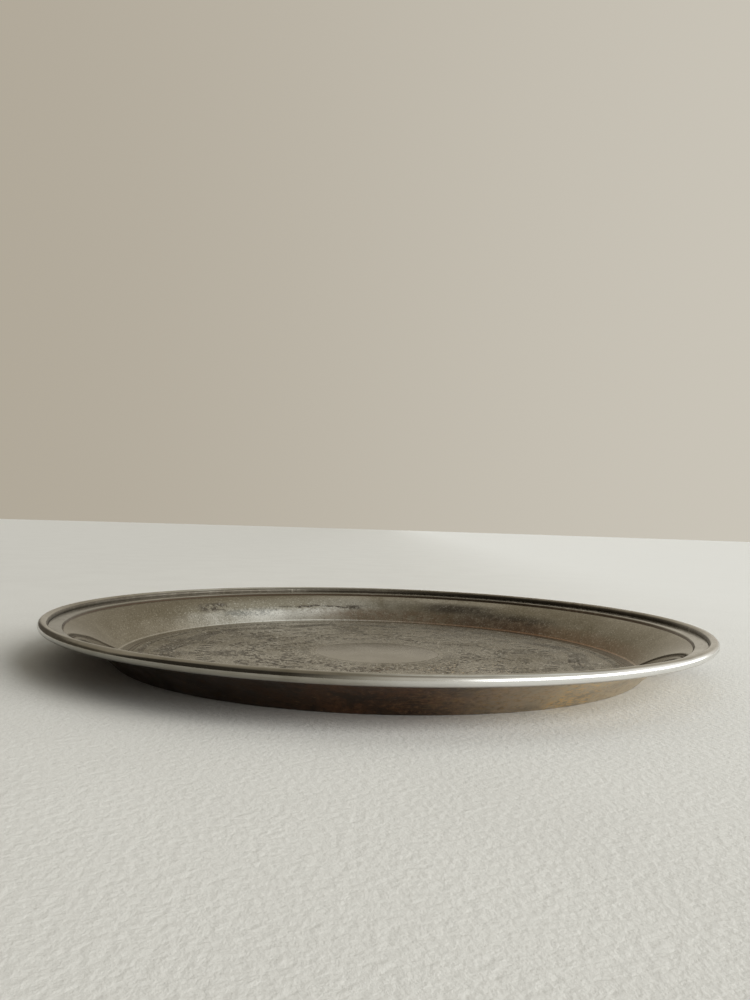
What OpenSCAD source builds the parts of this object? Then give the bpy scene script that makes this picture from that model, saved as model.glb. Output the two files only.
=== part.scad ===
// Round metal serving tray: a pressed sheet dish with a rolled border soldered on its flange.
// Millimetres, +Z up. The origin is the centre of the flat base, on the surface it stands on.

/* [Overall] */
// Diameter over the outside of the bead
tray_d = 305; // [250:1:400]
// Height from the base to the top of the bead
tray_h = 19.4; // [17:0.1:26]

/* [Dish] */
// Thickness of the pressed sheet
sheet_t = 1.1; // [0.8:0.1:1.2]
// Width of the border and the sloping side together, from the outside to the crease
side_w = 31.4; // [28:0.1:38]
// How far the sloping side bows up above a straight line
side_bow = 2; // [0:0.1:2.4]
// Radius of the bend between the base and the side, on the underside
bend_r = 1.8; // [1.3:0.1:2.4]

/* [Border] */
// Diameter of the bead at the edge
bead_d = 4.1; // [3.6:0.1:4.8]
// Thickness of the rolled border strip
strip_t = 0.5; // [0.4:0.05:0.6]
// Width of the flat band between the bead and the side
band_w = 5.7; // [5:0.1:6.5]
// How far the band falls from the bead to its inner edge
band_fall = 0.7; // [0.4:0.05:1]
// Height of the step at the band's inner edge
step_h = 1.25; // [1:0.05:1.4]
// Depth of the groove between the bead and the band
groove_depth = 0.25; // [0.1:0.05:0.35]
// Width of the gap that the strip's rolled edge leaves open
lap_gap = 0.6; // [0.4:0.1:0.8]
// Thickness of the solder between the strip and the flange's edge
solder_t = 0.15; // [0.1:0.05:0.3]

/* [Hidden] */
$fn = 96;

// Bead: a tube of strip rolled round the wire
bead_r = bead_d / 2;
bead_x = tray_d / 2 - bead_r;
bead_z = tray_h - bead_r;
wire_r = bead_r - strip_t;

// Band: the flat part of the strip, from the groove in to its ridge. The groove's upper edge
// lies a little inside the bead's surface and a little below its middle.
groove_inset = 0.1;
groove_below = 0.45;
groove_x = bead_x - bead_r + groove_inset;
groove_z = bead_z - groove_below;
ridge = [groove_x - band_w, groove_z - band_fall];
ridge_round = 0.25;
step_run = 0.7;

// The strip's underside, where it turns down to its foot and where it meets the bead
strip_drop = strip_t * norm([band_w, band_fall]) / band_w;
under_inner = ridge + [strip_t / 2, -strip_drop];
under_outer = [groove_x, groove_z - groove_depth - strip_drop];

// The gap in the rolled bead, a few degrees past the place where the band runs into it
lap_past = 12;
lap_angle = 180 + lap_past + asin((bead_z - under_outer[1]) / bead_r);

// Dish: the sheet's upper surface runs from the crease up to the flange's edge
crease_x = tray_d / 2 - side_w;
side_top = ridge - [step_run, step_h];
flange_end = under_outer - [0, solder_t];
flange_slope = (flange_end[1] - side_top[1]) / (flange_end[0] - side_top[0]);
strip_foot = side_top + strip_t * [1, flange_slope];
side_steps = 10;
bend_steps = 6;

// A point part of the way up the side, on a shallow parabola: steep at the crease, flatter at the top
function side_point(s) = [
    crease_x + s * (side_top[0] - crease_x),
    sheet_t + s * (side_top[1] - sheet_t) + 4 * side_bow * s * (1 - s)
];
side_points = [for (i = [0 : side_steps]) side_point(i / side_steps)];

// The unit normal of the line from a to b, on its left
function normal_of(a, b) = [a[1] - b[1], b[0] - a[0]] / norm(b - a);

// Point i of an open path moved to its right by t, with the corner mitred
function moved(path, i, t) =
    let (last = len(path) - 1)
    let (before = normal_of(path[max(i - 1, 0)], path[max(i, 1)]))
    let (after = normal_of(path[min(i, last - 1)], path[min(i + 1, last)]))
    let (mid = (before + after) / norm(before + after))
    path[i] - mid * t / (mid * before);

upper = concat([[0, sheet_t]], side_points, [flange_end]);
lower_side = [for (i = [len(upper) - 1 : -1 : 2]) moved(upper, i, sheet_t)];

// The bend under the crease: an arc of bend_r that touches both the base and the side
side_rise = atan2(
    side_points[1][1] - side_points[0][1],
    side_points[1][0] - side_points[0][0]
);
bend_x = crease_x + (sheet_t - bend_r) * tan(side_rise / 2);
bend_points = [
    for (i = [bend_steps : -1 : 0])
        let (a = side_rise * i / bend_steps)
        [bend_x, bend_r] + bend_r * [sin(a), -cos(a)]
];
dish_outline = concat(upper, lower_side, bend_points, [[0, 0]]);

// The ridge at the band's inner edge, rounded off
ridge_points = [
    for (a = [160 : -20 : 100])
        ridge + ridge_round * [1 + cos(a), sin(a) - 1]
];

// Section of the core wire
module wire_section() {
    translate([bead_x, bead_z]) circle(wire_r);
}

// Section of the flat strip, from its foot on the side to the bead
module band_section() {
    polygon(concat(
        [side_top],
        ridge_points,
        [[groove_x - groove_depth, groove_z], [bead_x - wire_r - strip_t / 2, groove_z - groove_depth]],
        [[bead_x - wire_r, under_outer[1]], under_outer, under_inner, strip_foot]
    ));
}

// The gap that stays open where the strip has been rolled round to meet the flange
module lap_section() {
    translate([bead_x, bead_z]) rotate(lap_angle)
        translate([0, -lap_gap / 2]) square([bead_d, lap_gap]);
}

// Section of the strip's rolled edge: a ring round the wire, open at the lap
module bead_section() {
    difference() {
        translate([bead_x, bead_z]) circle(bead_r);
        wire_section();
        lap_section();
    }
}

// The pressed sheet: flat base, sloping side and narrow flange
module dish() {
    color("darkkhaki")
        rotate_extrude() polygon(dish_outline);
}

// The rolled border: band and bead in one strip
module border_moulding() {
    color("silver") {
        rotate_extrude() band_section();
        rotate_extrude() bead_section();
    }
}

// The wire inside the bead
module core_wire() {
    color("peru")
        rotate_extrude() wire_section();
}

// The solder that fills the hollow under the band and runs out past the flange's edge
module solder_seam() {
    bead_foot = bead_z - bead_r;
    color("gray")
        rotate_extrude() difference() {
            polygon([
                strip_foot, under_inner, under_outer, [bead_x, bead_z],
                [bead_x - bead_r / 2, bead_foot], [flange_end[0], bead_foot], flange_end
            ]);
            polygon(dish_outline);
            band_section();
            bead_section();
            wire_section();
        }
}

dish();
border_moulding();
core_wire();
solder_seam();
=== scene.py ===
"""Looks of a round plated serving tray: an engraved dish with a rolled, polished border.

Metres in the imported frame: +Z up, the origin at the centre of the base. The ornament alone is
drawn in millimetres, as an engraver would mark it out.
"""
import math

import bpy
import numpy as np
from mathutils import Matrix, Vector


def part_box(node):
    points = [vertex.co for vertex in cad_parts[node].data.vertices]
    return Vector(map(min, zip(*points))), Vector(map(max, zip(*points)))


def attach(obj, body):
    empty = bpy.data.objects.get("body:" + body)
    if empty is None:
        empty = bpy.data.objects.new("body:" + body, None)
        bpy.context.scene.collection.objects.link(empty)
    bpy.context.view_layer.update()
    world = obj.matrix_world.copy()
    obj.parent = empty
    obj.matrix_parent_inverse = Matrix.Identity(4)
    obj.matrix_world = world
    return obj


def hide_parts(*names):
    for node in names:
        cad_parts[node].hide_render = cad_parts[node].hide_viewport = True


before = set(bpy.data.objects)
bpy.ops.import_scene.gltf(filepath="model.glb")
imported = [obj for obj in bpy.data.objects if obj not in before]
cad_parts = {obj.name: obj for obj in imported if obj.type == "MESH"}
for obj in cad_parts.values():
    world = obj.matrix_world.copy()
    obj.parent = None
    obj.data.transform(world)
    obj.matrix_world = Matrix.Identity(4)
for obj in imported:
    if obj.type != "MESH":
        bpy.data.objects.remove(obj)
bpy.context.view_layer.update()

MM = 0.001
TAU = 2 * math.pi

# ---- Sizes -------------------------------------------------------------------------------------

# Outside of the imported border, to a tenth of a millimetre
TRAY_R = round(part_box("border_moulding")[1].x, 4)
TRAY_H = round(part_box("border_moulding")[1].z, 4)

# Sheet and side of the dish, the same values as in the CAD
SHEET = 1.1 * MM
SIDE_W = 31.4 * MM
SIDE_BOW = 2.0 * MM
BEND_R = 1.8 * MM

# Rolled border, the same values as in the CAD. The last one is in degrees
BEAD_R = 2.05 * MM
STRIP = 0.5 * MM
BAND_W = 5.7 * MM
BAND_FALL = 0.7 * MM
STEP_H = 1.25 * MM
STEP_RUN = 0.7 * MM
GROOVE = 0.25 * MM
GROOVE_INSET = 0.1 * MM
GROOVE_BELOW = 0.45 * MM
SOLDER = 0.15 * MM
LAP_GAP = 0.6 * MM
LAP_PAST = 12

# Where the parts of the section meet, as (radius, height)
BEAD = np.array([TRAY_R - BEAD_R, TRAY_H - BEAD_R])
WIRE_R = BEAD_R - STRIP
GROOVE_TOP = BEAD + [GROOVE_INSET - BEAD_R, -GROOVE_BELOW]
RIDGE = GROOVE_TOP - [BAND_W, BAND_FALL]
STRIP_DROP = STRIP * math.hypot(BAND_W, BAND_FALL) / BAND_W
UNDER_INNER = RIDGE + [STRIP / 2, -STRIP_DROP]
UNDER_OUTER = GROOVE_TOP - [0, GROOVE + STRIP_DROP]
SIDE_TOP = RIDGE - [STEP_RUN, STEP_H]
FLANGE_END = UNDER_OUTER - [0, SOLDER]
CREASE = np.array([TRAY_R - SIDE_W, SHEET])

# Rings of the floor, and the spacing of the mesh where it is engraved
DISC_R = 30.0 * MM
DISC_SWELL = 0.16 * MM
ENGRAVED_R = 114.0 * MM
FLOOR_R = CREASE[0] - 0.8 * MM
GRID = 0.42 * MM

# Segments round the wall and the border, and round the plain parts of the floor
TURNS = 720
PLAIN_TURNS = 240


# ---- Mesh helpers ------------------------------------------------------------------------------

def make_mesh(name, points, faces, sharp_degrees=50):
    """A smooth-shaded object from arrays of points and equal-sided faces, with crisp corners."""
    sides = faces.shape[1]
    mesh = bpy.data.meshes.new(name)
    mesh.vertices.add(len(points))
    mesh.vertices.foreach_set("co", points.astype(np.float32).ravel())
    mesh.loops.add(faces.size)
    mesh.loops.foreach_set("vertex_index", faces.astype(np.int32).ravel())
    mesh.polygons.add(len(faces))
    mesh.polygons.foreach_set("loop_start", np.arange(0, faces.size, sides, dtype=np.int32))
    mesh.update(calc_edges=True)
    mesh.validate()
    mesh.set_sharp_from_angle(angle=math.radians(sharp_degrees))
    made = bpy.data.objects.new(name, mesh)
    bpy.context.scene.collection.objects.link(made)
    return made


def add_attribute(piece, name, values):
    """One number per vertex, for the materials to read."""
    layer = piece.data.attributes.new(name, "FLOAT", "POINT")
    layer.data.foreach_set("value", values.astype(np.float32))


def revolve(name, section, shape):
    """A closed section of (radius, height) turned about Z. shape moves each point a little."""
    section = np.array(section)
    angle = np.arange(TURNS)[:, None] * TAU / TURNS
    radius, height = shape(section[None, :, 0], section[None, :, 1], angle)
    points = np.stack([radius * np.cos(angle), radius * np.sin(angle), height], -1).reshape(-1, 3)
    here = np.arange(TURNS)[:, None] * len(section) + np.arange(len(section))
    ahead = np.roll(here, -1, 0)
    faces = np.stack([here, np.roll(here, -1, 1), np.roll(ahead, -1, 1), ahead], -1).reshape(-1, 4)
    return make_mesh(name, points, faces)


def zip_rings(start_a, count_a, start_b, count_b):
    """Triangles between ring a and the wider ring b, whose points may differ in number."""
    mid_a = (np.arange(count_a) + 0.5) / count_a
    mid_b = (np.arange(count_b) + 0.5) / count_b
    a, b = np.arange(count_a), np.arange(count_b)
    b_at_a = np.searchsorted(mid_b, mid_a, side="left") % count_b
    a_at_b = np.searchsorted(mid_a, mid_b, side="right") % count_a
    inner = np.stack([start_a + a, start_b + b_at_a, start_a + (a + 1) % count_a], -1)
    outer = np.stack([start_a + a_at_b, start_b + b, start_b + (b + 1) % count_b], -1)
    return np.concatenate([inner, outer])


def arc(centre, radius, start, end, count):
    """Points on an arc in the section, by angle in degrees from the outward direction."""
    a = np.radians(np.linspace(start, end, count))
    return [centre + radius * np.array([math.cos(t), math.sin(t)]) for t in a]


def waves(seed, count, lowest, highest):
    """A smooth random function of the angle: a few whole-number waves with a peak of about 1."""
    rng = np.random.default_rng(seed)
    orders = rng.integers(lowest, highest, count)
    phases = rng.uniform(0, TAU, count)
    return lambda angle: sum(np.sin(k * angle + p) for k, p in zip(orders, phases)) / count


# ---- Ornament: one mirrored repeat of the engraving, in millimetres ------------------------------

REPEATS = 8
ORNAMENT_TURN = math.radians(13)
FIELD_STEP = 0.14
FIELD_X = np.arange(26.0, 118.0, FIELD_STEP)
FIELD_Y = np.arange(-2.0, 48.0, FIELD_STEP)
HALF_REPEAT = 180 / REPEATS

# Where the ornament lies, and the turned lines that frame it: radius, half width and depth
ORNAMENT_FROM, ORNAMENT_TO = 31.4, 113.6
TURNED_LINES = ((30.0, 0.35, 0.06), (31.0, 0.3, 0.05), (115.0, 0.3, 0.08), (116.6, 0.5, 0.13))


def polar(radius, degrees):
    """Points by radius and angle from the repeat's axis."""
    a = np.radians(degrees)
    return np.stack([radius * np.cos(a), radius * np.sin(a)], -1)


def line(start, end, bow=0.0, count=12):
    """A stroke from start to end, bowed to its left by bow times its length."""
    start, end = np.array(start), np.array(end)
    t = np.linspace(0, 1, count)[:, None]
    across = np.array([start[1] - end[1], end[0] - start[0]])
    return start + (end - start) * t + across * bow * 4 * t * (1 - t)


def spiral(centre, outer, inner, start, turns, count=90):
    """A volute that winds in from radius outer to inner; turns is negative for clockwise."""
    t = np.linspace(0, 1, count)
    reach = outer * (inner / outer) ** t
    a = np.radians(start) + TAU * turns * t
    return np.array(centre) + np.stack([reach * np.cos(a), reach * np.sin(a)], -1)


def leaf(base, tip, belly):
    """A pointed leaf: two bowed edges, a midrib and slanting veins."""
    base, tip = np.array(base), np.array(tip)
    strokes = [line(base, tip, belly), line(base, tip, -belly), line(base, tip)]
    across = np.array([base[1] - tip[1], tip[0] - base[0]])
    for t in (0.25, 0.45, 0.65):
        root = base + (tip - base) * t
        for side in (-1, 1):
            end = root + (tip - base) * 0.18 + across * side * belly * 2.6 * t * (1 - t)
            strokes.append(line(root, end, count=4))
    return strokes


def frond(path, first, last, step, length, side):
    """Curled leaflets that stand along one side of a stem."""
    strokes = []
    for i in range(int(first * len(path)), int(last * len(path)) - 1, step):
        ahead = path[i + 1] - path[i]
        ahead = ahead / np.linalg.norm(ahead)
        out = np.array([-ahead[1], ahead[0]]) * side
        tip = path[i] + (out + ahead * 0.9) * length
        strokes += [line(path[i], tip, 0.22 * side), line(path[i], tip, -0.05 * side)]
    return strokes


def rosette(centre, radius, petals):
    """A round flower: petals with a vein each, about a ringed eye."""
    centre = np.array(centre)
    strokes = [centre + polar(radius * k, np.linspace(0, 360, 40)) for k in (0.16, 0.28)]
    for i in range(petals):
        a = 360 * (i + 0.5) / petals
        half = 180 / petals
        rim = np.linspace(a - half, a + half, 14)
        lobe = np.clip(np.cos(np.radians((rim - a) * 90 / half)), 0, 1)
        bulge = radius * (0.62 + 0.38 * np.sqrt(lobe))
        strokes.append(centre + polar(bulge, rim))
        strokes.append(centre + polar(np.linspace(0.34, 0.62, 6) * radius, np.full(6, a - half)))
        for lean in (-0.35, 0, 0.35):
            root = centre + polar(0.4 * radius, a + lean * half * 0.6)
            tip = centre + polar(0.75 * radius, a + lean * half)
            strokes.append(line(root, tip, count=5))
    return strokes


def collar():
    """Leaves and darts round the plain disc."""
    strokes = []
    for a in np.arange(0, HALF_REPEAT + 4, 7.5):
        strokes += leaf(polar(32.2, a), polar(38.2, a), 0.2)
        strokes.append(line(polar(33.0, a + 3.75), polar(36.8, a + 3.75)))
        strokes.append(polar(39.2 + 0.7 * np.cos(np.radians(np.linspace(0, 360, 16))),
                             np.linspace(a, a + 7.5, 16)))
    return strokes


def scrolls():
    """Three volutes with leaflets along their backs, and sprays between them."""
    strokes = []
    # Centre, outer and inner radius, start angle, turns, and the side its leaflets stand on
    volutes = [
        (polar(52.5, 14.5), 10.5, 1.2, -70, 1.7, -1),
        (polar(68.0, 19.0), 6.5, 0.9, 200, -1.5, 1),
        (polar(42.5, 6.0), 4.6, 0.8, 120, -1.4, 1),
        (polar(61.0, 4.0), 5.2, 0.8, 250, 1.4, -1),
    ]
    for centre, outer, inner, start, turns, side in volutes:
        path = spiral(centre, outer, inner, start, turns)
        strokes += [path, spiral(centre, outer - 0.9, inner, start, turns)]
        strokes += frond(path, 0.0, 0.5, 5, outer * 0.3, side)
        strokes += frond(path, 0.08, 0.45, 4, outer * 0.16, -side)
    strokes += rosette(polar(84.0, HALF_REPEAT), 5.2, 6)
    strokes += rosette(polar(43.6, HALF_REPEAT), 3.4, 5)
    for a, lean in ((2, 8), (7, 5), (11, 2), (16, -3)):
        strokes += leaf(polar(79.5, a), polar(87.0, a + lean * 0.4), 0.16)
    return strokes


def palmette():
    """Leaves fanned outwards from a small flower."""
    heart = polar(67.5, 0)
    strokes = rosette(polar(65.0, 0), 3.2, 6)
    for lean, length in ((0, 15.0), (27, 13.5), (54, 11.5), (84, 8.5)):
        strokes += leaf(heart + polar(3.2, lean), heart + polar(length, lean), 0.2)
    strokes += rosette(polar(86.5, 0), 2.6, 5)
    return strokes


def garland():
    """A wavy stem with paired leaves, flowers in its bends and arches outside it."""
    strokes = []
    a = np.linspace(-1, HALF_REPEAT + 1, 160)
    stem = polar(98.0 + 3.2 * np.cos(np.radians(a * REPEATS)), a)
    strokes += [stem, stem + 0.7 * np.array([1, 0])]
    for i in range(16, 140, 14):
        out = polar(1.0, a[i])
        for side in (-1, 1):
            tip = stem[i] + side * out * 5.2 + polar(3.6, a[i] + 90)
            strokes += leaf(stem[i], tip, 0.2)
    strokes += rosette(polar(93.0, 0), 6.2, 7)
    strokes += rosette(polar(103.0, HALF_REPEAT), 6.0, 7)
    pitch = HALF_REPEAT / 9
    for i in range(9):
        across = np.linspace(0, 180, 16)
        rise = np.sin(np.radians(across))
        strokes.append(polar(109.6 + 3.4 * rise, i * pitch + across / 180 * pitch))
        strokes.append(polar(109.6 + 2.3 * rise, (i + 0.12) * pitch + across / 180 * pitch * 0.76))
        middle = (i + 0.5) * pitch
        strokes.append(line(polar(109.8, middle), polar(111.6, middle), count=4))
    return strokes


def ribbed_ground():
    """Rows of short slanting cuts that shade the ground between scrolls and garland."""
    strokes = []
    for radius in (89.0, 90.6):
        for a in np.arange(6.5, HALF_REPEAT, 0.85):
            strokes.append(line(polar(radius, a), polar(radius + 1.3, a + 0.5), count=4))
    return strokes


def stamp(field, strokes, width, depth):
    """Cuts strokes into the field: a V that is deepest along the line and fades at its ends."""
    samples = []
    for path in strokes:
        steps = np.linalg.norm(np.diff(path, axis=0), axis=1)
        run = np.concatenate([[0], np.cumsum(steps)])
        at = np.linspace(0, run[-1], max(4, int(run[-1] / 0.1)))
        taper = np.clip(np.minimum(at, run[-1] - at) / 0.9 + 0.35, 0, 1)
        xy = [np.interp(at, run, path[:, k]) for k in (0, 1)]
        samples.append(np.stack([*xy, taper], -1))
    x, y, taper = np.concatenate(samples).T
    column = np.round((x - FIELD_X[0]) / FIELD_STEP).astype(int)
    row = np.round((y - FIELD_Y[0]) / FIELD_STEP).astype(int)
    reach = int(width / FIELD_STEP) + 1
    for dc in range(-reach, reach + 1):
        for dr in range(-reach, reach + 1):
            c, r = column + dc, row + dr
            inside = (c >= 0) & (c < len(FIELD_X)) & (r >= 0) & (r < len(FIELD_Y))
            c, r, t = c[inside], r[inside], taper[inside]
            away = np.hypot(FIELD_X[c] - x[inside], FIELD_Y[r] - y[inside])
            np.maximum.at(field, (r, c), depth * np.clip(t - away / width, 0, 1))


def curls(field, rng):
    """Small wriggled cuts that fill the ground wherever nothing else has been cut."""
    x, y = np.meshgrid(np.arange(28, 110, 1.75), np.arange(-1, 45, 1.75))
    x = x.ravel() + rng.uniform(-0.6, 0.6, x.size)
    y = y.ravel() + rng.uniform(-0.6, 0.6, y.size)
    radius = np.hypot(x, y)
    keep = (radius > 40) & (radius < 108.5)
    columns = np.clip(((x - FIELD_X[0]) / FIELD_STEP).astype(int), 3, len(FIELD_X) - 4)
    rows = np.clip(((y - FIELD_Y[0]) / FIELD_STEP).astype(int), 3, len(FIELD_Y) - 4)
    near = [field[rows + dr, columns + dc] for dr in (-3, 0, 3) for dc in (-3, 0, 3)]
    keep &= np.max(near, axis=0) < 0.01
    strokes = []
    for px, py in zip(x[keep], y[keep]):
        start, span = rng.uniform(0, 360), rng.uniform(90, 230) * rng.choice([-1, 1])
        reach = rng.uniform(0.45, 0.95)
        strokes.append([px, py] + polar(reach, np.linspace(start, start + span, 9)))
    return strokes


def ornament_field():
    """Depth in millimetres of one half repeat."""
    field = np.zeros((len(FIELD_Y), len(FIELD_X)))
    stamp(field, collar() + ribbed_ground(), 0.34, 0.10)
    stamp(field, scrolls() + palmette() + garland(), 0.42, 0.15)
    stamp(field, curls(field, np.random.default_rng(4)), 0.34, 0.09)
    return field


def sample(field, x, y):
    """Bilinear reading of a field at points in millimetres."""
    c = np.clip((x - FIELD_X[0]) / FIELD_STEP, 0, len(FIELD_X) - 1.001)
    r = np.clip((y - FIELD_Y[0]) / FIELD_STEP, 0, len(FIELD_Y) - 1.001)
    c0, r0 = c.astype(int), r.astype(int)
    u, v = c - c0, r - r0
    top = field[r0, c0] * (1 - u) + field[r0, c0 + 1] * u
    low = field[r0 + 1, c0] * (1 - u) + field[r0 + 1, c0 + 1] * u
    return top * (1 - v) + low * v


def engrave(x, y):
    """Depth of cut at points of the floor, in metres."""
    field = ornament_field()
    px, py = x / MM, y / MM
    # The hand that cut it wandered a little, so no two repeats are quite alike
    px = px + 0.35 * np.sin(py * 0.13 + 1.0) + 0.2 * np.sin(px * 0.23 + py * 0.17)
    py = py + 0.35 * np.sin(px * 0.11 + 2.0) + 0.2 * np.sin(px * 0.19 - py * 0.21)
    radius = np.hypot(px, py)
    sector = TAU / REPEATS
    angle = np.arctan2(py, px) - ORNAMENT_TURN
    angle = np.abs((angle + sector / 2) % sector - sector / 2)
    fx, fy = radius * np.cos(angle), radius * np.sin(angle)
    zone = (radius > ORNAMENT_FROM) & (radius < ORNAMENT_TO)
    depth = np.where(zone, sample(field, fx, fy), 0)
    for ring, width, deep in TURNED_LINES:
        depth = np.maximum(depth, deep * np.clip(1 - np.abs(radius - ring) / width, 0, 1))
    return depth * MM


# ---- The dish ------------------------------------------------------------------------------------

def side_point(s):
    """Upper surface of the side: a shallow parabola from the crease to the flange."""
    rise = CREASE + s * (SIDE_TOP - CREASE)
    return rise + [0, 4 * SIDE_BOW * s * (1 - s)]


def side_normal(s):
    """Unit normal of the side's upper surface."""
    run, climb = SIDE_TOP - CREASE
    climb += 4 * SIDE_BOW * (1 - 2 * s)
    return np.array([-climb, run]) / math.hypot(run, climb)


def dish_floor():
    """The flat of the dish: a closed disc of sheet with the ornament cut into its face."""
    # Rings of points, in millimetres: fine where it is cut or bends, coarse where it is plain
    plain = np.arange(1.2, 25.4, 1.2)
    disc_edge = np.arange(25.6, 28.6, 0.22)
    engraved = np.arange(28.8, 113.8, GRID / MM)
    lines = np.arange(114.0, 117.6, 0.2)
    margin = np.arange(118.0, FLOOR_R / MM - 0.3, 0.7)
    top = np.concatenate([plain, disc_edge, engraved, lines, margin, [FLOOR_R / MM]]) * MM
    back = np.linspace(FLOOR_R, 4 * MM, 26)
    radii = np.concatenate([top, back])
    counts = 8 * np.ceil(TAU * radii / GRID / 8).astype(int)
    counts[radii < DISC_R - 2 * MM] = PLAIN_TURNS
    counts[radii > ENGRAVED_R + 2 * MM] = TURNS
    counts[len(top):] = PLAIN_TURNS
    counts[len(top)] = TURNS
    starts = np.concatenate([[0], np.cumsum(counts)[:-1]]) + 1
    angle = np.concatenate([np.arange(n) * TAU / n for n in counts])
    radius = np.repeat(radii, counts)
    x, y = radius * np.cos(angle), radius * np.sin(angle)
    on_top = np.repeat(np.arange(len(radii)) < len(top), counts)
    depth = engrave(x, y) * on_top
    # A flat that has been pressed and used is never quite level
    calm = np.clip((FLOOR_R - radius) / (20 * MM), 0, 1)
    sway = 0.05 * MM * np.sin(x * 38 + 0.6) * np.sin(y * 31 + 0.4) * calm
    swell = DISC_SWELL * np.clip(1 - (radius / DISC_R) ** 2, 0, 1)
    height = np.where(on_top, SHEET - depth + sway + swell, 0)
    points = np.stack([x, y, height], -1)
    points = np.concatenate([[[0, 0, SHEET + DISC_SWELL]], points, [[0, 0, 0]]])
    faces = [
        zip_rings(starts[i], counts[i], starts[i + 1], counts[i + 1])
        for i in range(len(radii) - 1)
    ]
    first, last = np.arange(counts[0]), np.arange(counts[-1])
    faces.append(np.stack([np.zeros_like(first), 1 + first, 1 + (first + 1) % counts[0]], -1))
    bottom = np.full_like(last, len(points) - 1)
    faces.append(np.stack([starts[-1] + last, bottom, starts[-1] + (last + 1) % counts[-1]], -1))
    piece = make_mesh("dish_floor", points, np.concatenate(faces))
    add_attribute(piece, "cut", np.concatenate([[0], depth / (0.1 * MM), [0]]))
    return piece


def dish_wall():
    """The sloping side with its flange above and the bend that it stands on below."""
    blend = 0.5 * MM
    foot, start = CREASE - [blend, 0], side_point(0.035)
    section = [np.array([FLOOR_R, SHEET])]
    for t in np.linspace(0, 1, 7):
        section.append((1 - t) ** 2 * foot + 2 * t * (1 - t) * CREASE + t * t * start)
    section += [side_point(s) for s in np.linspace(0.07, 1, 30)]
    section += [SIDE_TOP + (FLANGE_END - SIDE_TOP) * t for t in (0.3, 0.6, 0.97)]
    slope = (FLANGE_END - SIDE_TOP) / np.linalg.norm(FLANGE_END - SIDE_TOP)
    down = np.array([slope[1], -slope[0]]) * SHEET
    section += [FLANGE_END + down * 0.1, FLANGE_END + down * 0.9]
    section.append(FLANGE_END + down - slope * 0.1 * MM)
    section += [SIDE_TOP + (FLANGE_END - SIDE_TOP) * t + down for t in (0.6, 0.3)]
    section += [side_point(s) - side_normal(s) * SHEET for s in np.linspace(0.98, 0.1, 30)]
    run, climb = side_point(0.1) - CREASE
    steepness = math.atan2(climb, run)
    bend = np.array([CREASE[0] + (SHEET - BEND_R) * math.tan(steepness / 2), BEND_R])
    section += arc(bend, BEND_R, math.degrees(steepness) - 90, -90, 8)
    section.append(np.array([FLOOR_R, 0]))
    ripple, lean = waves(11, 5, 3, 14), waves(12, 5, 9, 40)

    def shape(radius, height, angle):
        up = np.clip((height - SHEET) / (SIDE_TOP[1] - SHEET), 0, 1)
        push = np.sin(math.pi * up) * (0.07 * ripple(angle) + 0.025 * lean(angle)) * MM
        return radius + push, height - 0.6 * push

    return revolve("dish_wall", section, shape)


def rolled_border():
    """One strip: foot, ridge, band, groove and the bead that it is rolled into."""
    ridge_round = 0.3 * MM
    # Angles on the bead: where it rises out of the groove, and where the rolled edge ends
    sunk = 0.22 * MM
    groove_x = -math.sqrt(BEAD_R ** 2 - (BEAD[1] - GROOVE_TOP[1] + sunk) ** 2)
    rim_start = math.degrees(math.atan2(GROOVE_TOP[1] - sunk - BEAD[1], groove_x)) % 360
    lap_start = 180 + LAP_PAST + math.degrees(math.asin((BEAD[1] - UNDER_OUTER[1]) / BEAD_R))
    lap_end = lap_start + LAP_GAP / BEAD_R * 45
    section = [SIDE_TOP, SIDE_TOP + [0.12 * MM, 0.25 * MM]]
    section += arc(RIDGE + [ridge_round, -ridge_round], ridge_round, 165, 97, 6)
    band_end = GROOVE_TOP - [0.42 * MM, 0.05 * MM]
    section += [RIDGE + (band_end - RIDGE) * t for t in (0.15, 0.3, 0.5, 0.7, 0.85, 0.94, 1)]
    dip = ((-0.24, -0.06), (-0.1, -0.14), (0, -0.2))
    section += [GROOVE_TOP + [x * MM, z * MM] for x, z in dip]
    section += arc(BEAD, BEAD_R, rim_start, lap_end - 360, 54)
    section += arc(BEAD, WIRE_R, lap_end - 360, 196, 20)
    section += [UNDER_OUTER, UNDER_INNER, SIDE_TOP + [STRIP, 0.09 * MM]]
    wobble, sag = waves(21, 5, 2, 11), waves(22, 4, 8, 30)

    def shape(radius, height, angle):
        inward = (0.03 * wobble(angle) - 0.03) * MM
        drop = (0.02 * sag(angle) - 0.02) * MM
        return radius + inward, height + drop

    return revolve("rolled_border", section, shape)


# ---- Materials -----------------------------------------------------------------------------------

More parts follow.
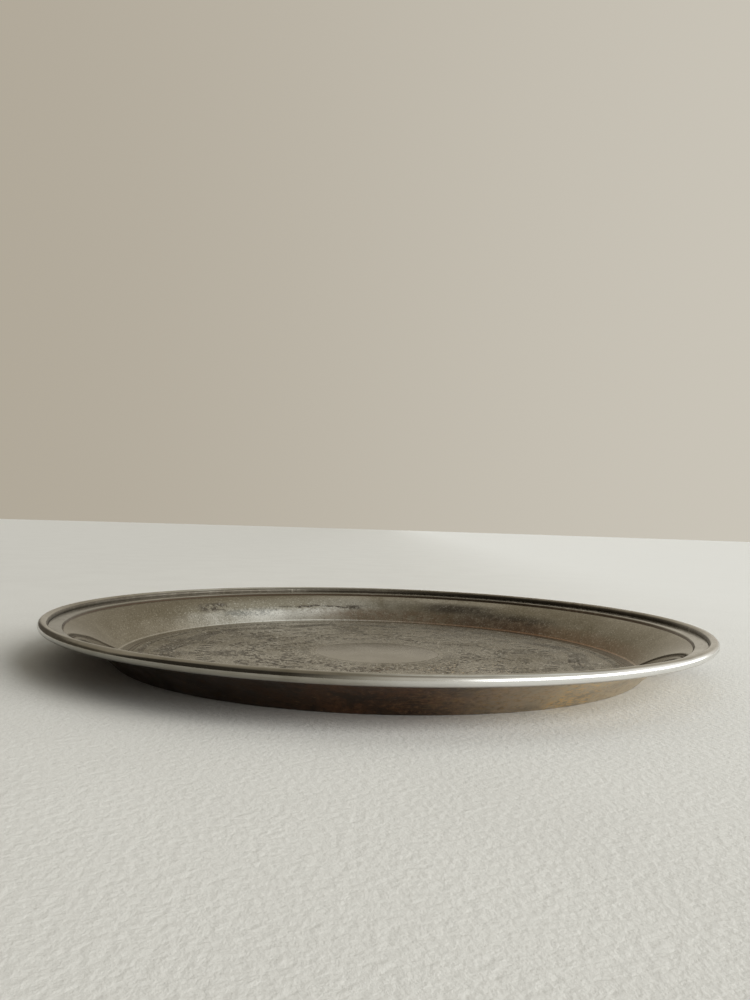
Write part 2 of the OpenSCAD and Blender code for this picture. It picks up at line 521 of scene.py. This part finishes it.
class Nodes:
    """A node tree. Its methods add a node each and hand back the output to use next."""

    def __init__(self, tree, coordinates):
        self.tree = tree
        self.place = self.node("ShaderNodeTexCoord").outputs[coordinates]
        split = self.node("ShaderNodeSeparateXYZ", {"Vector": self.place})
        self.x, self.y, self.z = split.outputs

    def feed(self, socket, value):
        if isinstance(value, bpy.types.NodeSocket):
            self.tree.links.new(value, socket)
        elif socket.type == "RGBA":
            socket.default_value = (*value, 1)
        else:
            socket.default_value = value

    def node(self, kind, inputs=None, **settings):
        made = self.tree.nodes.new(kind)
        for key, value in settings.items():
            setattr(made, key, value)
        for key, value in (inputs or {}).items():
            self.feed(made.inputs[key], value)
        return made

    def math(self, operation, first, second=0.0):
        return self.node("ShaderNodeMath", {0: first, 1: second}, operation=operation).outputs[0]

    def add(self, *values):
        total = values[0]
        for value in values[1:]:
            total = self.math("ADD", total, value)
        return total

    def times(self, *values):
        total = values[0]
        for value in values[1:]:
            total = self.math("MULTIPLY", total, value)
        return total

    def ramp(self, value, low, high, to_low=0.0, to_high=1.0):
        """Value from low to high turned smoothly into to_low to to_high, and held outside them."""
        inputs = {
            "Value": value, "From Min": low, "From Max": high, "To Min": to_low, "To Max": to_high,
        }
        return self.node("ShaderNodeMapRange", inputs, interpolation_type="SMOOTHSTEP").outputs[0]

    def band(self, value, low, high, soft):
        """1 between low and high, fading to 0 over soft on each side."""
        rise = self.ramp(value, low - soft, low)
        fall = self.ramp(value, high, high + soft, 1.0, 0.0)
        return self.times(rise, fall)

    def mix(self, share, first, second):
        inputs = {0: share, 6: first, 7: second}
        return self.node("ShaderNodeMix", inputs, data_type="RGBA").outputs[2]


class Finish(Nodes):
    """The node tree of one material, on the tray's own coordinates."""

    def __init__(self, name, metallic=1.0):
        self.material = bpy.data.materials.new(name)
        self.material.use_nodes = True
        super().__init__(self.material.node_tree, "Object")
        self.shader = self.tree.nodes["Principled BSDF"]
        self.shader.inputs["Metallic"].default_value = metallic
        flat = self.node("ShaderNodeCombineXYZ", {"X": self.x, "Y": self.y}).outputs[0]
        self.radius = self.vector("LENGTH", flat).outputs["Value"]
        self.heading = self.vector("NORMALIZE", flat).outputs["Vector"]

    def vector(self, operation, first, second=(0, 0, 0)):
        return self.node("ShaderNodeVectorMath", {0: first, 1: second}, operation=operation)

    def noise(self, size, detail=3.0, roughness=0.55, distortion=0.0, vector=None):
        """Noise whose features are about size metres across."""
        inputs = {
            "Vector": vector or self.place, "Scale": 1 / size, "Detail": detail,
            "Roughness": roughness, "Distortion": distortion,
        }
        return self.node("ShaderNodeTexNoise", inputs).outputs[0]

    def attribute(self, name):
        return self.node("ShaderNodeAttribute", attribute_name=name).outputs["Fac"]

    def stretched(self, along, across):
        """Coordinates that run round the tray, for marks longer round it than across it."""
        around = self.vector("SCALE", self.heading)
        around.inputs["Scale"].default_value = TRAY_R / along
        low = self.times(self.add(self.radius, self.z), 1 / across)
        lift = self.node("ShaderNodeCombineXYZ", {"Z": low}).outputs[0]
        return self.vector("ADD", around.outputs["Vector"], lift).outputs["Vector"]

    def near(self, degrees, half_width):
        """1 at that angle round the tray, 0 from half_width degrees away."""
        a = math.radians(degrees)
        facing = self.vector("DOT_PRODUCT", self.heading, (math.cos(a), math.sin(a), 0))
        return self.ramp(facing.outputs["Value"], math.cos(math.radians(half_width)), 1.0)

    def bump(self, height, distance, normal=None):
        inputs = {"Height": height, "Distance": distance}
        if normal:
            inputs["Normal"] = normal
        return self.node("ShaderNodeBump", inputs).outputs["Normal"]

    def finish(self, colour, roughness, normal):
        self.feed(self.shader.inputs["Base Color"], colour)
        self.feed(self.shader.inputs["Roughness"], roughness)
        self.feed(self.shader.inputs["Normal"], normal)
        return self.material


# Silver plate, from polished to tarnished
# POLISHED is the near white of the painted highlight on the bead
POLISHED = (0.97, 0.97, 0.96)
# GLINT is a painted highlight colour, for the glints and highlights painted on the plate
GLINT = (0.86, 0.84, 0.78)
PALE_SILVER = (0.55, 0.53, 0.48)
FLOOR_BRIGHT = (0.54, 0.51, 0.44)
BORDER_BRIGHT = (0.42, 0.395, 0.34)
SILVER = (0.40, 0.375, 0.32)
FLOOR_DULL = (0.33, 0.295, 0.225)
BORDER_DULL = (0.31, 0.285, 0.23)
OLIVE = (0.21, 0.185, 0.135)
GREY_FILM = (0.16, 0.165, 0.155)
GREEN_GREY = (0.15, 0.155, 0.14)
SMOKE = (0.055, 0.043, 0.032)

# Base metal and what has grown on it
BRIGHT_BRASS = (0.88, 0.66, 0.34)
RUBBED = (0.67, 0.585, 0.455)
WIRE_BRIGHT = (0.62, 0.42, 0.17)
GOLDEN = (0.48, 0.33, 0.17)
RUDDY = (0.42, 0.25, 0.14)
COPPER = (0.36, 0.215, 0.13)
WIRE_DULL = (0.30, 0.18, 0.08)
RED_BROWN = (0.23, 0.115, 0.06)
RUSSET = (0.22, 0.135, 0.085)
TAN = (0.20, 0.12, 0.07)
UMBER = (0.105, 0.062, 0.036)

# Solder
SOLDER_BRIGHT = (0.30, 0.29, 0.27)
SOLDER_DULL = (0.09, 0.08, 0.07)


def floor_plate():
    """Tarnished plate of the engraved floor: dark in the cuts, with painted glints where it is
    engraved.
    """
    m = Finish("floor_plate")
    m.shader.inputs["Specular Tint"].default_value = (0.85, 0.84, 0.82, 1)
    cut = m.attribute("cut")
    clouds = m.noise(0.045, 5.0, 0.6, 0.4)
    stains = m.noise(0.014, 4.0, 0.6, 0.8)
    specks = m.noise(0.0011, 3.0, 0.65)
    grain = m.noise(0.00035, 2.0, 0.6)
    colour = m.mix(m.ramp(clouds, 0.38, 0.68), FLOOR_BRIGHT, FLOOR_DULL)
    colour = m.mix(m.times(m.ramp(stains, 0.55, 0.75), 0.35), colour, OLIVE)
    edge = m.ramp(m.radius, 0.1075, 0.119)
    colour = m.mix(m.times(edge, 0.55), colour, OLIVE)
    rust = m.times(m.near(25, 75), m.ramp(m.radius, 0.109, 0.1205), m.ramp(clouds, 0.3, 0.6))
    colour = m.mix(m.times(rust, 0.45), colour, UMBER)
    engraved = m.band(m.radius, DISC_R, ENGRAVED_R, 0.5 * MM)
    wriggle = m.noise(0.0026, 1.0, 0.5, 1.6)
    vein = m.times(engraved, m.band(wriggle, 0.485, 0.515, 0.03))
    facets = m.noise(0.0017, 3.0, 0.6, 0.4)
    # Painted glints: bright specks that stand in for light caught by the engraved facets
    small_glint = m.times(m.ramp(specks, 0.43, 0.35), 0.7)
    large_glint = m.times(m.ramp(facets, 0.6, 0.67), 0.8)
    glint = m.times(engraved, m.math("MAXIMUM", small_glint, large_glint))
    pits = m.times(engraved, m.ramp(facets, 0.4, 0.32), m.add(0.15, m.times(m.near(20, 100), 0.3)))
    dirt = m.times(engraved, m.ramp(specks, 0.54, 0.68), 0.6)
    colour = m.mix(dirt, colour, SMOKE)
    colour = m.mix(m.times(vein, m.ramp(clouds, 0.35, 0.6, 0.2, 0.5)), colour, SMOKE)
    colour = m.mix(pits, colour, SMOKE)
    filled = m.times(m.ramp(cut, 0.1, 0.7), m.ramp(stains, 0.38, 0.6, 0.5, 0.85))
    colour = m.mix(filled, colour, SMOKE)
    colour = m.mix(glint, colour, GLINT)
    disc = m.ramp(m.radius, DISC_R, DISC_R - 0.8 * MM)
    colour = m.mix(m.times(disc, m.ramp(stains, 0.4, 0.6, 0.46, 0.64)), colour, OLIVE)
    roughness = m.add(
        m.times(m.ramp(clouds, 0.3, 0.7, 0.05, 0.12), m.ramp(disc, 0.0, 1.0, 1.0, 0.3)),
        m.times(cut, 0.2), m.times(engraved, m.ramp(specks, 0.4, 0.7, 0.14, 0.28)),
        m.times(edge, 0.12))
    scratches = m.noise(0.0016, 2.0, 0.5, 0.0, m.stretched(0.012, 0.0011))
    normal = m.bump(m.times(grain, m.ramp(disc, 0.0, 1.0, 1.0, 0.08)), 0.012 * MM)
    normal = m.bump(m.times(specks, m.add(engraved, 0.03)), 0.09 * MM, normal)
    normal = m.bump(vein, -0.05 * MM, normal)
    normal = m.bump(m.times(facets, engraved), 0.12 * MM, normal)
    normal = m.bump(scratches, 0.01 * MM, normal)
    return m.finish(colour, roughness, normal)


def side_plate():
    """Tarnished plate of the inner side: wiped round, smoky at the back, coppery at the crease,
    with a painted highlight low on the back left and painted shade above it. The front is painted
    dark as shade, and the two ends are smooth enough to mirror it."""
    m = Finish("side_plate")
    m.shader.inputs["Specular Tint"].default_value = (0.8, 0.78, 0.74, 1)
    clouds = m.noise(0.03, 5.0, 0.6, 0.5)
    fine = m.noise(0.004, 5.0, 0.7)
    specks = m.noise(0.0009, 3.0, 0.6)
    wiped = m.noise(1.0, 4.0, 0.6, 0.0, m.stretched(0.05, 0.0025))
    rise = m.ramp(m.radius, CREASE[0], SIDE_TOP[0])
    colour = m.mix(m.ramp(clouds, 0.35, 0.7), SILVER, OLIVE)
    colour = m.mix(m.times(m.ramp(wiped, 0.5, 0.72), 0.15), colour, SMOKE)
    colour = m.mix(m.times(m.ramp(fine, 0.45, 0.7), 0.35), colour, OLIVE)
    # Painted highlight: the back left of the side made pale near the crease, where the bright
    # corner is mirrored
    reach = m.add(m.times(m.near(113, 20), 0.45), m.times(m.near(132, 42), 0.08))
    rubbed_and_painted_highlight = m.times(reach, m.ramp(m.add(rise, m.times(fine, 0.25)), 0.56, 0.16))
    colour = m.mix(rubbed_and_painted_highlight, colour, GLINT)
    grey = m.times(m.near(128, 12), m.band(rise, 0.2, 0.4, 0.2), m.ramp(fine, 0.42, 0.56))
    colour = m.mix(m.times(grey, 0.6), colour, GREY_FILM)
    cloudy = m.ramp(m.add(m.times(clouds, 0.5), m.times(fine, 0.6)), 0.32, 0.56)
    high_smoke = m.times(m.near(67, 13), m.band(rise, 0.4, 0.6, 0.3))
    low_smoke = m.times(m.near(52, 20), m.ramp(rise, 0.65, 0.2))
    smoke = m.times(m.math("MAXIMUM", high_smoke, low_smoke), cloudy)
    colour = m.mix(m.times(m.near(5, 72), m.ramp(clouds, 0.3, 0.6, 0.6, 0.9)), colour, OLIVE)
    colour = m.mix(m.times(m.near(188, 44), 0.5), colour, OLIVE)
    # Painted shade: the upper part of the back wall darkened, so the mirrored corner light shows
    # only near the crease
    upper = m.times(m.near(136, 50), m.ramp(m.add(rise, m.times(fine, 0.3)), 0.34, 0.6))
    colour = m.mix(m.times(upper, 0.92), colour, OLIVE)
    colour = m.mix(m.times(smoke, 0.85), colour, SMOKE)
    brown = m.times(m.near(84, 30), m.ramp(rise, 0.42, 0.0), m.ramp(fine, 0.32, 0.6))
    colour = m.mix(m.times(brown, 0.6), colour, RUSSET)
    spot = m.times(m.near(138, 6), m.band(rise, 0.42, 0.66, 0.16), m.ramp(fine, 0.42, 0.54))
    colour = m.mix(m.times(spot, 0.9), colour, SMOKE)
    wander = m.add(rise, m.times(m.noise(0.009, 2.0), 0.34), -0.57)
    tide = m.times(m.near(107, 16), m.band(wander, -0.02, 0.02, 0.045), m.ramp(fine, 0.36, 0.5))
    blot = m.times(m.near(97, 2.6), m.band(rise, 0.34, 0.38, 0.14), m.ramp(fine, 0.38, 0.5))
    colour = m.mix(m.times(m.math("MAXIMUM", tide, blot), 0.9), colour, SMOKE)
    # Painted shade: the front of the inner side painted dark, as the dim room near the camera
    # shades it; the smooth ends mirror it
    front = m.times(m.near(270, 62), m.ramp(clouds, 0.3, 0.6, 0.45, 0.7))
    colour = m.mix(front, colour, SMOKE)
    shiny = m.math("MAXIMUM", m.near(204, 28), m.near(336, 28))
    keen = m.ramp(shiny, 0.1, 0.5, 1.0, 0.1)
    worn = m.ramp(m.radius, CREASE[0] + 0.6 * MM, CREASE[0] + 0.1 * MM)
    warm = m.near(38, 62)
    rusty = m.times(m.near(28, 50), m.ramp(m.add(rise, m.times(fine, 0.3)), 0.5, 0.1))
    colour = m.mix(m.times(rusty, 0.55), colour, RUSSET)
    colour = m.mix(m.times(worn, 0.75), colour, m.mix(warm, PALE_SILVER, COPPER))
    colour = m.mix(m.times(m.ramp(specks, 0.54, 0.7), 0.5), colour, SMOKE)
    colour = m.mix(m.times(m.ramp(specks, 0.44, 0.32), 0.3), colour, GLINT)
    roughness = m.add(
        m.times(keen, m.ramp(clouds, 0.3, 0.7, 0.08, 0.17)), m.times(smoke, 0.25),
        m.times(brown, 0.15), m.times(keen, m.ramp(fine, 0.4, 0.7, 0.0, 0.08)), 0.02)
    normal = m.bump(m.times(m.noise(0.0004, 2.0), keen), 0.008 * MM)
    normal = m.bump(m.times(wiped, keen), 0.015 * MM, normal)
    normal = m.bump(m.times(specks, keen), 0.03 * MM, normal)
    return m.finish(colour, roughness, normal)


def outside_plate():
    """The outside of the dish: brown and sooty, painted shade at the front, golden scratches where
    worn.
    """
    m = Finish("outside_plate")
    clouds = m.noise(0.022, 5.0, 0.65, 0.6)
    fine = m.noise(0.0035, 5.0, 0.7)
    flecks = m.noise(1.0, 3.0, 0.6, 0.3, m.stretched(0.004, 0.0011))
    colour = m.mix(m.ramp(clouds, 0.35, 0.68), UMBER, SMOKE)
    brown = m.times(m.near(286, 46), m.ramp(clouds, 0.38, 0.6))
    colour = m.mix(m.times(brown, 0.8), colour, RED_BROWN)
    colour = m.mix(m.times(m.ramp(fine, 0.52, 0.66), 0.6), colour, TAN)
    mottle = m.noise(0.0018, 4.0, 0.7)
    colour = m.mix(m.times(m.ramp(mottle, 0.52, 0.66), 0.55), colour, SMOKE)
    ruddy = m.times(m.near(292, 38), m.ramp(mottle, 0.47, 0.36), 0.6)
    colour = m.mix(ruddy, colour, RUDDY)
    # Painted shade: the outside darker at the front, where it faces the shaded cloth
    front_painted_shade = m.times(m.ramp(m.noise(0.009, 4.0, 0.65, 0.5), 0.5, 0.62), m.near(265, 60))
    colour = m.mix(m.times(front_painted_shade, 0.6), colour, SMOKE)
    patchy = m.add(clouds, m.times(fine, 0.4))
    # On the outside this mask is wear only: less tarnish at the right
    rubbed_and_painted_highlight = m.times(m.near(320, 46), m.ramp(patchy, 0.5, 0.75, 0.55, 1.0))
    colour = m.mix(rubbed_and_painted_highlight, colour, RUBBED)
    colour = m.mix(m.times(m.ramp(mottle, 0.5, 0.62), m.ramp(fine, 0.4, 0.6), 0.4), colour, UMBER)
    gold = m.times(m.near(298, 30), m.ramp(flecks, 0.50, 0.60), m.ramp(fine, 0.35, 0.55), 0.6)
    elsewhere = m.times(m.ramp(flecks, 0.64, 0.72), 0.45)
    colour = m.mix(m.math("MAXIMUM", gold, elsewhere), colour, GOLDEN)
    scuff = m.times(m.near(304, 8), m.ramp(flecks, 0.48, 0.56), m.ramp(fine, 0.38, 0.5))
    colour = m.mix(m.times(scuff, 0.7), colour, BRIGHT_BRASS)
    roughness = m.add(m.ramp(clouds, 0.3, 0.7, 0.3, 0.45), m.ramp(fine, 0.4, 0.7, 0.0, 0.1))
    normal = m.bump(fine, 0.05 * MM)
    normal = m.bump(mottle, 0.05 * MM, normal)
    normal = m.bump(flecks, 0.03 * MM, normal)
    return m.finish(colour, roughness, normal)


def border_plate():
    """Polished plate of the border: bright on the bead with a painted highlight at the front right,
    dark in the groove, and painted shade under the lap.
    """
    m = Finish("border_plate")
    clouds = m.noise(0.02, 5.0, 0.6, 0.4)
    fine = m.noise(0.0025, 4.0, 0.65)
    wiped = m.noise(1.0, 3.0, 0.6, 0.0, m.stretched(0.03, 0.0012))
    colour = m.mix(m.ramp(clouds, 0.35, 0.7), BORDER_BRIGHT, BORDER_DULL)
    # The lower half of the bead greener grey at the front left
    lower = m.ramp(m.z, BEAD[1] + 0.2 * BEAD_R, BEAD[1] - 0.1 * BEAD_R)
    colour = m.mix(m.times(lower, m.near(215, 68), 0.6), colour, GREEN_GREY)
    # Painted highlight: the bead's outer face near white at the front right, clean polish with the
    # window's highlight painted on
    outer = m.ramp(m.radius, BEAD[0] + 0.45 * BEAD_R, BEAD[0] + 0.85 * BEAD_R)
    polished = m.times(m.near(302, 40), outer)
    colour = m.mix(polished, colour, POLISHED)
    back = m.times(m.near(60, 55), m.ramp(fine, 0.3, 0.6))
    colour = m.mix(m.times(back, 0.35), colour, UMBER)
    colour = m.mix(m.times(m.near(140, 60), 0.12), colour, OLIVE)
    tarnish = m.times(m.ramp(wiped, 0.5, 0.68), m.ramp(polished, 0.0, 1.0, 0.45, 0.1))
    colour = m.mix(tarnish, colour, OLIVE)
    groove = m.band(m.radius, GROOVE_TOP[0] - 0.25 * MM, GROOVE_TOP[0] + 0.2 * MM, 0.2 * MM)
    step = m.ramp(m.radius, RIDGE[0] + 0.1 * MM, RIDGE[0] - 0.25 * MM)
    dark = m.times(m.math("MAXIMUM", groove, step), m.ramp(fine, 0.2, 0.5, 0.35, 0.7))
    colour = m.mix(dark, colour, SMOKE)
    # Painted shade: the underside of the bead darkened, where it faces the shaded cloth
    below = m.ramp(m.z, BEAD[1] - 0.7 * BEAD_R, BEAD[1] - BEAD_R)
    colour = m.mix(m.times(below, 0.7), colour, UMBER)
    roughness = m.add(
        m.ramp(clouds, 0.3, 0.7, 0.09, 0.16), m.times(dark, 0.3), m.times(back, 0.12),
        m.ramp(fine, 0.45, 0.7, 0.0, 0.08))
    normal = m.bump(fine, 0.006 * MM)
    normal = m.bump(wiped, 0.008 * MM, normal)
    return m.finish(colour, roughness, normal)


def wire_brass():
    """Drawn brass wire with die lines round it and a dull film."""
    m = Finish("wire_brass_drawn")
    film = m.noise(0.006, 4.0)
    drawn = m.noise(1.0, 2.0, 0.5, 0.0, m.stretched(0.05, 0.0003))
    colour = m.mix(m.ramp(film, 0.35, 0.7), WIRE_BRIGHT, WIRE_DULL)
    return m.finish(colour, m.ramp(film, 0.3, 0.7, 0.25, 0.45), m.bump(drawn, 0.02 * MM))


def seam_solder():
    """Soft solder: dull grey, lumpy where it ran."""
    m = Finish("seam_solder")
    lumps = m.noise(0.003, 4.0)
    colour = m.mix(m.ramp(lumps, 0.35, 0.7), SOLDER_BRIGHT, SOLDER_DULL)
    return m.finish(colour, m.ramp(lumps, 0.3, 0.7, 0.4, 0.6), m.bump(lumps, 0.1 * MM))


# ---- Camera, light and stage ---------------------------------------------------------------------

# Where the photographer's eye was, and how the view was turned from level and straight ahead
EYE = (0.0, -389.4 * MM, 64.3 * MM)
YAW = math.radians(-0.462)
PITCH = math.radians(-1.536)
ROLL = math.radians(-1.772)
LENS = 28.8


def photographer():
    """The camera, low over the table and turned a little off level."""
    data = bpy.data.cameras.new("camera")
    data.lens = LENS
    data.sensor_width = 36.0
    data.clip_start = 0.01
    data.clip_end = 30.0
    forward = np.array([
        math.sin(YAW) * math.cos(PITCH), math.cos(YAW) * math.cos(PITCH), -math.sin(PITCH)])
    level = np.array([math.cos(YAW), -math.sin(YAW), 0])
    below = np.cross(forward, level)
    right = math.cos(ROLL) * level + math.sin(ROLL) * below
    down = math.cos(ROLL) * below - math.sin(ROLL) * level
    turn = Matrix(np.stack([right, -down, -forward], -1).tolist()).to_4x4()
    camera = bpy.data.objects.new("camera", data)
    bpy.context.scene.collection.objects.link(camera)
    camera.matrix_world = Matrix.Translation(EYE) @ turn
    bpy.context.scene.camera = camera


def table_top():
    """A plain pale floor, wide enough to reach the horizon, painted darker to the left and lighter
    to the right, as light falls off from the window.
    """
    radii = [0.3, 0.8, 2.0, 6.0]
    sides = 96
    angle = np.arange(sides) * TAU / sides
    points = [np.stack([r * np.cos(angle), r * np.sin(angle), 0 * angle], -1) for r in radii]
    points = np.concatenate([[[0, 0, 0]], *points])
    a = np.arange(sides)
    fan = np.stack([0 * a, 1 + a, 1 + (a + 1) % sides], -1)
    rings = [
        zip_rings(1 + i * sides, sides, 1 + (i + 1) * sides, sides)
        for i in range(len(radii) - 1)
    ]
    floor = make_mesh("table_top", points, np.concatenate([fan, *rings]))
    m = Finish("table_cloth", metallic=0.0)
    m.shader.inputs["Specular IOR Level"].default_value = 0.1
    weave = m.noise(0.0022, 4.0, 0.6)
    soft = m.noise(0.05, 3.0, 0.5)
    colour = m.mix(m.ramp(weave, 0.3, 0.7, 0.0, 0.35), (0.74, 0.745, 0.725), (0.66, 0.66, 0.64))
    colour = m.mix(m.ramp(soft, 0.3, 0.7, 0.0, 0.3), colour, (0.65, 0.65, 0.63))
    # Painted shade: the cloth darker towards the left, away from the window
    colour = m.mix(m.ramp(m.x, 0.3, -0.4, 0.0, 0.25), colour, (0.44, 0.43, 0.405))
    # Painted light: the cloth brighter towards the right, near the window
    colour = m.mix(m.ramp(m.x, 0.0, 0.35, 0.0, 0.7), colour, (0.86, 0.875, 0.87))
    floor.data.materials.append(m.finish(colour, 0.95, m.bump(weave, 0.3 * MM)))


def surround():
    """Plain and pale to the camera. It lights the tray as a room does: pale walls behind with a
    lighter corner high at the right, a low shaded place at the left, a dim room near the camera,
    and a window at the right front that is brightest low down."""
    world = bpy.data.worlds.new("surround")
    bpy.context.scene.world = world
    world.use_nodes = True
    w = Nodes(world.node_tree, "Generated")
    turn = w.math("ARCTAN2", w.x, w.times(w.y, -1.0))
    height = w.math("ARCSINE", w.z)
    deg = math.radians
    seen = w.mix(w.ramp(w.x, -0.6, 0.6), (0.43, 0.385, 0.31), (0.60, 0.565, 0.49))
    wall = w.mix(w.ramp(w.x, -0.7, 0.5), (0.40, 0.365, 0.30), (0.62, 0.58, 0.50))
    wall = w.mix(w.ramp(w.x, 0.45, 0.95), wall, (0.85, 0.83, 0.78))
    room = w.mix(w.ramp(turn, deg(-32), deg(8)), (0.045, 0.04, 0.032), (0.52, 0.50, 0.44))
    light = w.mix(w.ramp(w.y, -0.1, 0.15), room, wall)
    light = w.mix(w.ramp(height, deg(46), deg(72)), light, (0.29, 0.265, 0.215))
    corner = w.times(
        w.ramp(w.x, -0.12, 0.22), w.ramp(w.y, -0.1, 0.3), w.ramp(height, deg(38), deg(56)))
    light = w.mix(corner, light, (1.0, 1.02, 1.0))
    shade = w.times(
        w.ramp(w.x, -0.42, -0.54), w.ramp(w.y, -0.1, 0.15), w.ramp(height, deg(28), deg(18)))
    light = w.mix(shade, light, (0.1, 0.088, 0.07))
    across = w.band(turn, deg(44), deg(112), deg(22))
    reach = w.add(height, w.ramp(turn, deg(60), deg(115), 0.0, deg(20)))
    glow = w.times(across, w.ramp(height, deg(-8), deg(2)), w.ramp(reach, deg(38), deg(26)))
    light = w.mix(glow, light, (2.4, 2.42, 2.38))
    camera = w.node("ShaderNodeLightPath").outputs["Is Camera Ray"]
    w.feed(world.node_tree.nodes["Background"].inputs["Color"], w.mix(camera, light, seen))
    world.cycles.sampling_method = "MANUAL"
    world.cycles.sample_map_resolution = 1024


def daylight():
    """The soft light the window throws on the table: a wide lamp that metal can't mirror."""
    height, heading = 25, 58
    lamp = bpy.data.lights.new("daylight", "SUN")
    lamp.energy = 2.75
    lamp.angle = math.radians(44)
    lamp.color = (1.0, 0.99, 0.96)
    made = bpy.data.objects.new("daylight", lamp)
    bpy.context.scene.collection.objects.link(made)
    made.rotation_euler = (math.radians(90 - height), 0, math.radians(heading))
    made.visible_glossy = False


def studio():
    """The floor, the light and true colours."""
    surround()
    daylight()
    table_top()
    bpy.context.scene.view_settings.view_transform = "Standard"


# ---- Put together --------------------------------------------------------------------------------

def place(piece, node, materials):
    """The piece rides on the tray, stands for its CAD node and takes these materials."""
    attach(piece, "root")
    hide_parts(node)
    for material in materials:
        piece.data.materials.append(material)


def paint_outside(piece, material_index):
    """Gives the faces that look down or outward the second material."""
    polygons = piece.data.polygons
    normal = np.zeros(len(polygons) * 3)
    centre = np.zeros(len(polygons) * 3)
    polygons.foreach_get("normal", normal)
    polygons.foreach_get("center", centre)
    normal, centre = normal.reshape(-1, 3), centre.reshape(-1, 3)
    outward = (normal[:, :2] * centre[:, :2]).sum(1) / np.linalg.norm(centre[:, :2], axis=1)
    outside = (normal[:, 2] < -0.2) | (outward > 0.2)
    polygons.foreach_set("material_index", np.where(outside, material_index, 0).astype(np.int32))


def restyle(node, material):
    """A CAD node that stays shown gets a finished material."""
    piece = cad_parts[node]
    for holder in piece.material_slots:
        holder.material = material


photographer()
outside = outside_plate()
floor = dish_floor()
place(floor, "dish", [floor_plate(), outside])
paint_outside(floor, 1)
wall = dish_wall()
place(wall, "dish", [side_plate(), outside])
paint_outside(wall, 1)
place(rolled_border(), "border_moulding", [border_plate()])
restyle("core_wire", wire_brass())
restyle("solder_seam", seam_solder())
studio()
